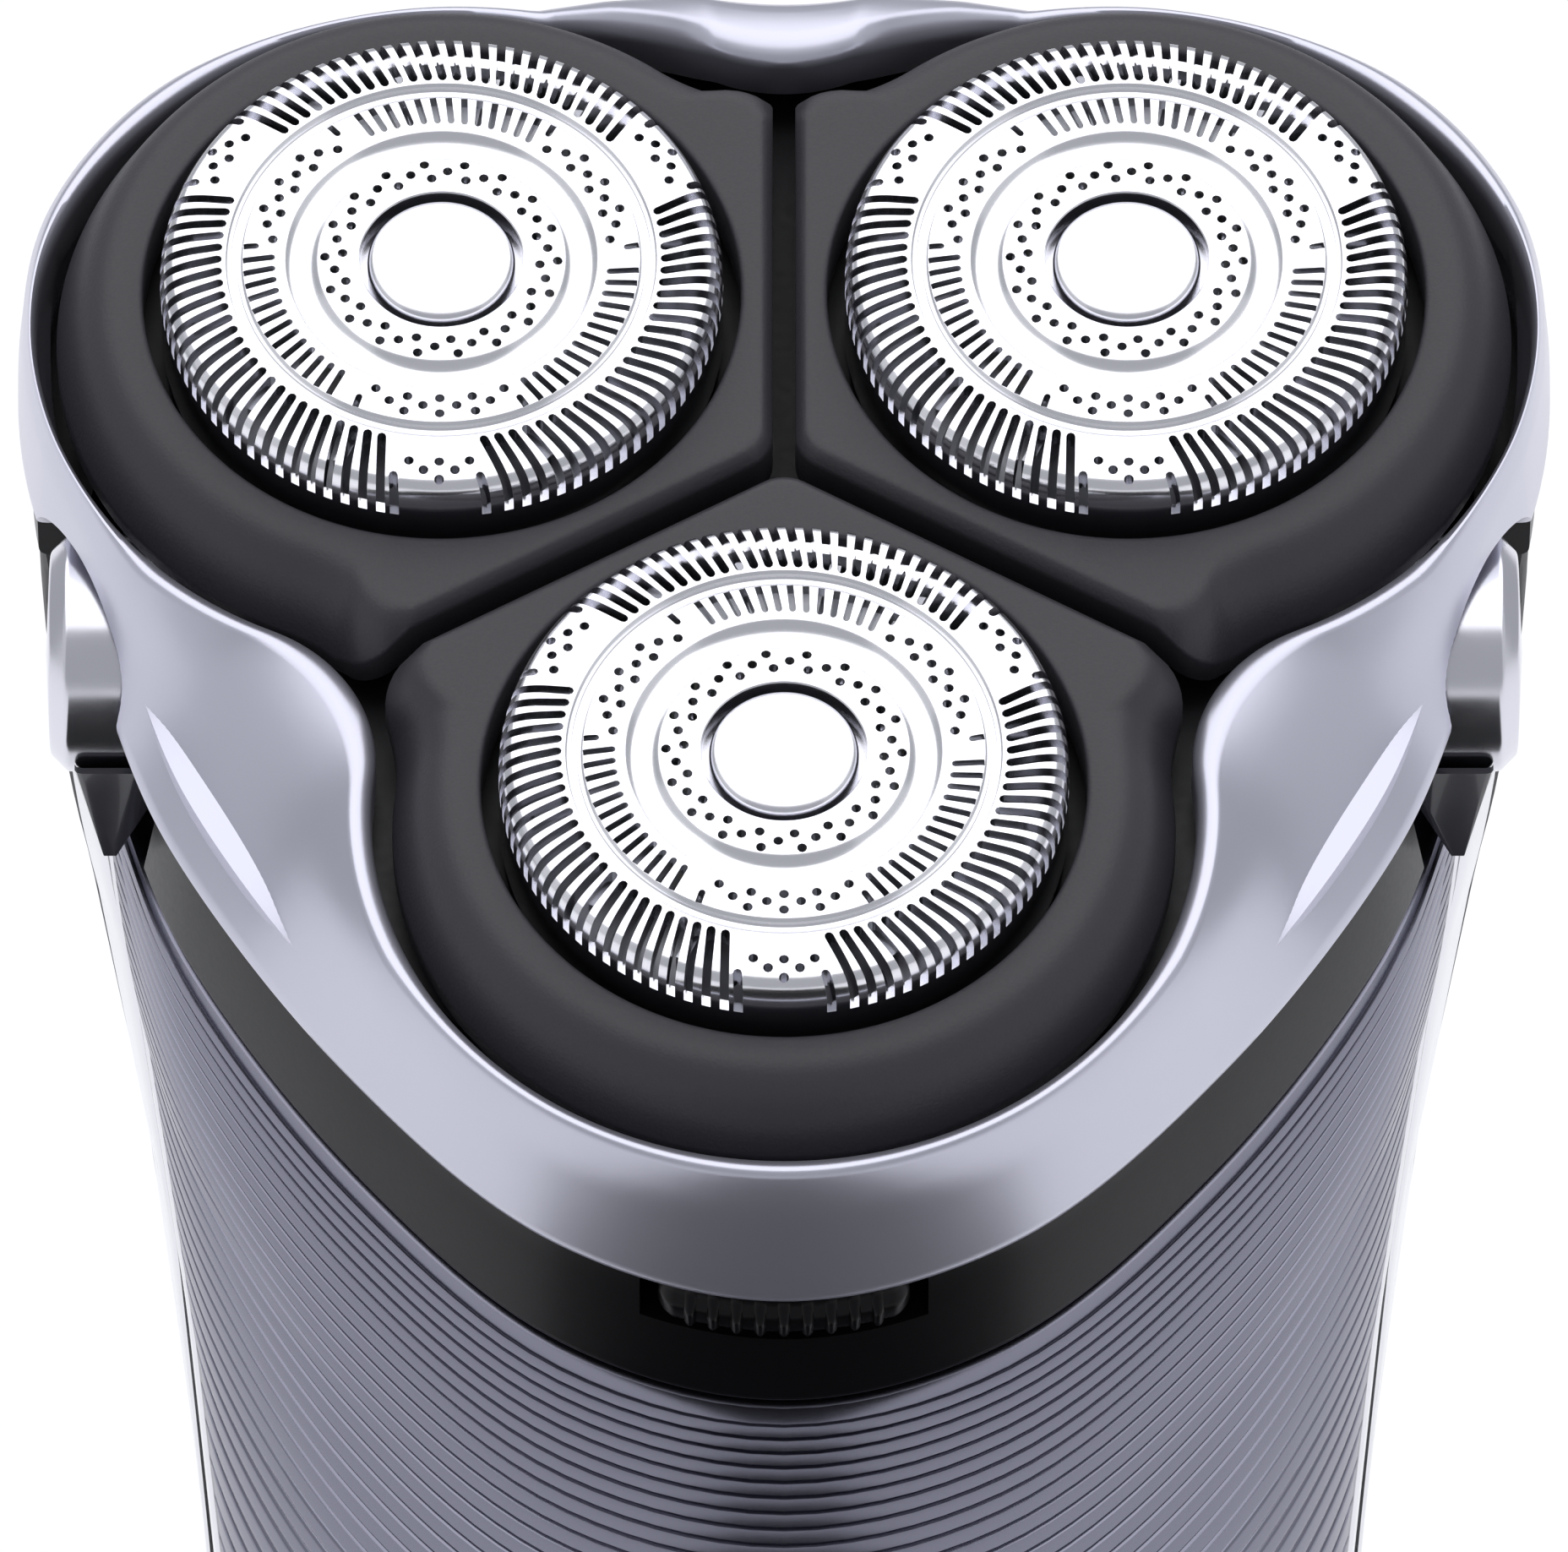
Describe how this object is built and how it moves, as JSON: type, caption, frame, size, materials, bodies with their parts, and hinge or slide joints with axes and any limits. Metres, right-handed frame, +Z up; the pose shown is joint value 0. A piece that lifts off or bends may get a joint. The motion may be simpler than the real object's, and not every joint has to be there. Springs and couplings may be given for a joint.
{
  "type": "three-head rotary electric shaver",
  "caption": "Cordless rotary electric shaver with three round slotted heads in a tilting silver frame on a ribbed handle.",
  "frame": {"origin": "middle of the flat base", "axes": "+Z up the handle, -Y towards the front, +X to the right as seen from the front"},
  "size_m": [0.0618, 0.0591, 0.1558],
  "materials": {
    "satin_silver": "satin",
    "chrome": "polished",
    "guard_steel": "polished",
    "blade_steel": "brushed",
    "black_satin": "satin",
    "segment_grey": "matte",
    "ribbed_panel": "satin",
    "black_plastic": "matte",
    "gloss_grey": "gloss",
    "nylon": "matte",
    "brass": "satin",
    "cell_sleeve": "gloss",
    "board_green": "gloss",
    "window_clear": "gloss"
  },
  "bodies": {
    "handle": {"front_shell": "ribbed_panel", "rear_shell": "black_satin", "side_trim_right": "chrome", "side_trim_left": "chrome", "base_cap": "black_plastic", "inlet_insert": "black_plastic", "inlet_pin_left": "brass", "inlet_pin_right": "brass", "button_bezel": "chrome", "charge_window": "window_clear", "chassis": "black_plastic", "battery_cell_left": "cell_sleeve", "battery_cell_right": "cell_sleeve", "circuit_board": "board_green", "shoulder_right": "gloss_grey", "shoulder_left": "gloss_grey", "pivot_barrel_right": "chrome", "pivot_barrel_left": "chrome", "collar": "black_satin"},
    "power_button": {"power_button": "black_satin"},
    "release_button": {"release_button": "black_satin"},
    "neck": {"hair_chamber": "black_plastic", "neck_cover": "black_satin", "hinge_pin": "blade_steel", "gear_plate": "black_plastic", "motor": "blade_steel"},
    "motor_pinion": {"motor_pinion": "brass"},
    "head": {"head_frame": "satin_silver", "carrier_plate": "black_plastic"},
    "gear_1": {"drive_gear_1": "nylon"},
    "segment_1": {"segment_1": "segment_grey", "retaining_ring_1": "black_plastic"},
    "cap_1": {"cap_1": "guard_steel", "cap_badge_1": "guard_steel"},
    "cutter_1": {"cutter_1": "blade_steel", "cutter_hub_1": "nylon"},
    "gear_2": {"drive_gear_2": "nylon"},
    "segment_2": {"segment_2": "segment_grey", "retaining_ring_2": "black_plastic"},
    "cap_2": {"cap_2": "guard_steel", "cap_badge_2": "guard_steel"},
    "cutter_2": {"cutter_2": "blade_steel", "cutter_hub_2": "nylon"},
    "gear_3": {"drive_gear_3": "nylon"},
    "segment_3": {"segment_3": "segment_grey", "retaining_ring_3": "black_plastic"},
    "cap_3": {"cap_3": "guard_steel", "cap_badge_3": "guard_steel"},
    "cutter_3": {"cutter_3": "blade_steel", "cutter_hub_3": "nylon"}
  },
  "joints": [
    {"name": "power_press", "type": "slide", "parent": "handle", "child": "power_button", "axis": [0, 0.9943, 0.1063], "range_m": [0, 0.0006], "stiffness_N_per_m": 800},
    {"name": "release_press", "type": "slide", "parent": "handle", "child": "release_button", "axis": [0, 0.9063, 0.4226], "range_m": [0, 0.001], "stiffness_N_per_m": 800},
    {"name": "neck_tilt", "type": "hinge", "parent": "handle", "child": "neck", "pos_m": [0, -0.001, 0.1355], "axis": [1, 0, 0], "range_deg": [-3, 3], "stiffness_Nm_per_rad": 1.2},
    {"name": "head_open", "type": "hinge", "parent": "neck", "child": "head", "pos_m": [0, 0.02331, 0.14716], "axis": [-1, 0, 0], "range_deg": [0, 85]},
    {"name": "pinion_spin", "type": "hinge", "parent": "neck", "child": "motor_pinion", "pos_m": [0, 0.00445, 0.12987], "axis": [0, -0.4226, 0.9063], "continuous": true},
    {"name": "gear_spin_1", "type": "hinge", "parent": "neck", "child": "gear_1", "pos_m": [0.01368, 0.01161, 0.13321], "axis": [0, -0.4226, 0.9063], "continuous": true},
    {"name": "segment_tilt_1", "type": "hinge", "parent": "head", "child": "segment_1", "pos_m": [0.02511, 0.01189, 0.14824], "axis": [0.5, -0.7849, -0.366], "range_deg": [0, 3], "stiffness_Nm_per_rad": 0.5},
    {"name": "cap_press_1", "type": "slide", "parent": "segment_1", "child": "cap_1", "axis": [0, 0.4226, -0.9063], "range_m": [0, 0.0012], "stiffness_N_per_m": 500},
    {"name": "cutter_spin_1", "type": "hinge", "parent": "cap_1", "child": "cutter_1", "pos_m": [0.01368, 0.00485, 0.14771], "axis": [0, -0.4226, 0.9063], "continuous": true},
    {"name": "gear_spin_2", "type": "hinge", "parent": "neck", "child": "gear_2", "pos_m": [-0.01368, 0.01161, 0.13321], "axis": [0, -0.4226, 0.9063], "continuous": true},
    {"name": "segment_tilt_2", "type": "hinge", "parent": "head", "child": "segment_2", "pos_m": [-0.02511, 0.01189, 0.14824], "axis": [0.5, 0.7849, 0.366], "range_deg": [0, 3], "stiffness_Nm_per_rad": 0.5},
    {"name": "cap_press_2", "type": "slide", "parent": "segment_2", "child": "cap_2", "axis": [0, 0.4226, -0.9063], "range_m": [0, 0.0012], "stiffness_N_per_m": 500},
    {"name": "cutter_spin_2", "type": "hinge", "parent": "cap_2", "child": "cutter_2", "pos_m": [-0.01368, 0.00485, 0.14771], "axis": [0, -0.4226, 0.9063], "continuous": true},
    {"name": "gear_spin_3", "type": "hinge", "parent": "neck", "child": "gear_3", "pos_m": [0, -0.00987, 0.1232], "axis": [0, -0.4226, 0.9063], "continuous": true},
    {"name": "segment_tilt_3", "type": "hinge", "parent": "head", "child": "segment_3", "pos_m": [0, -0.02754, 0.12985], "axis": [-1, 0, 0], "range_deg": [0, 3], "stiffness_Nm_per_rad": 0.5},
    {"name": "cap_press_3", "type": "slide", "parent": "segment_3", "child": "cap_3", "axis": [0, 0.4226, -0.9063], "range_m": [0, 0.0012], "stiffness_N_per_m": 500},
    {"name": "cutter_spin_3", "type": "hinge", "parent": "cap_3", "child": "cutter_3", "pos_m": [0, -0.01663, 0.1377], "axis": [0, -0.4226, 0.9063], "continuous": true}
  ],
  "couplings": [
    {"joint": "pinion_spin", "follows": "gear_spin_1", "ratio": -2.3333},
    {"joint": "cutter_spin_1", "follows": "gear_spin_1", "ratio": 1},
    {"joint": "gear_spin_2", "follows": "gear_spin_1", "ratio": 1},
    {"joint": "cutter_spin_2", "follows": "gear_spin_1", "ratio": 1},
    {"joint": "gear_spin_3", "follows": "gear_spin_1", "ratio": 1},
    {"joint": "cutter_spin_3", "follows": "gear_spin_1", "ratio": 1}
  ]
}
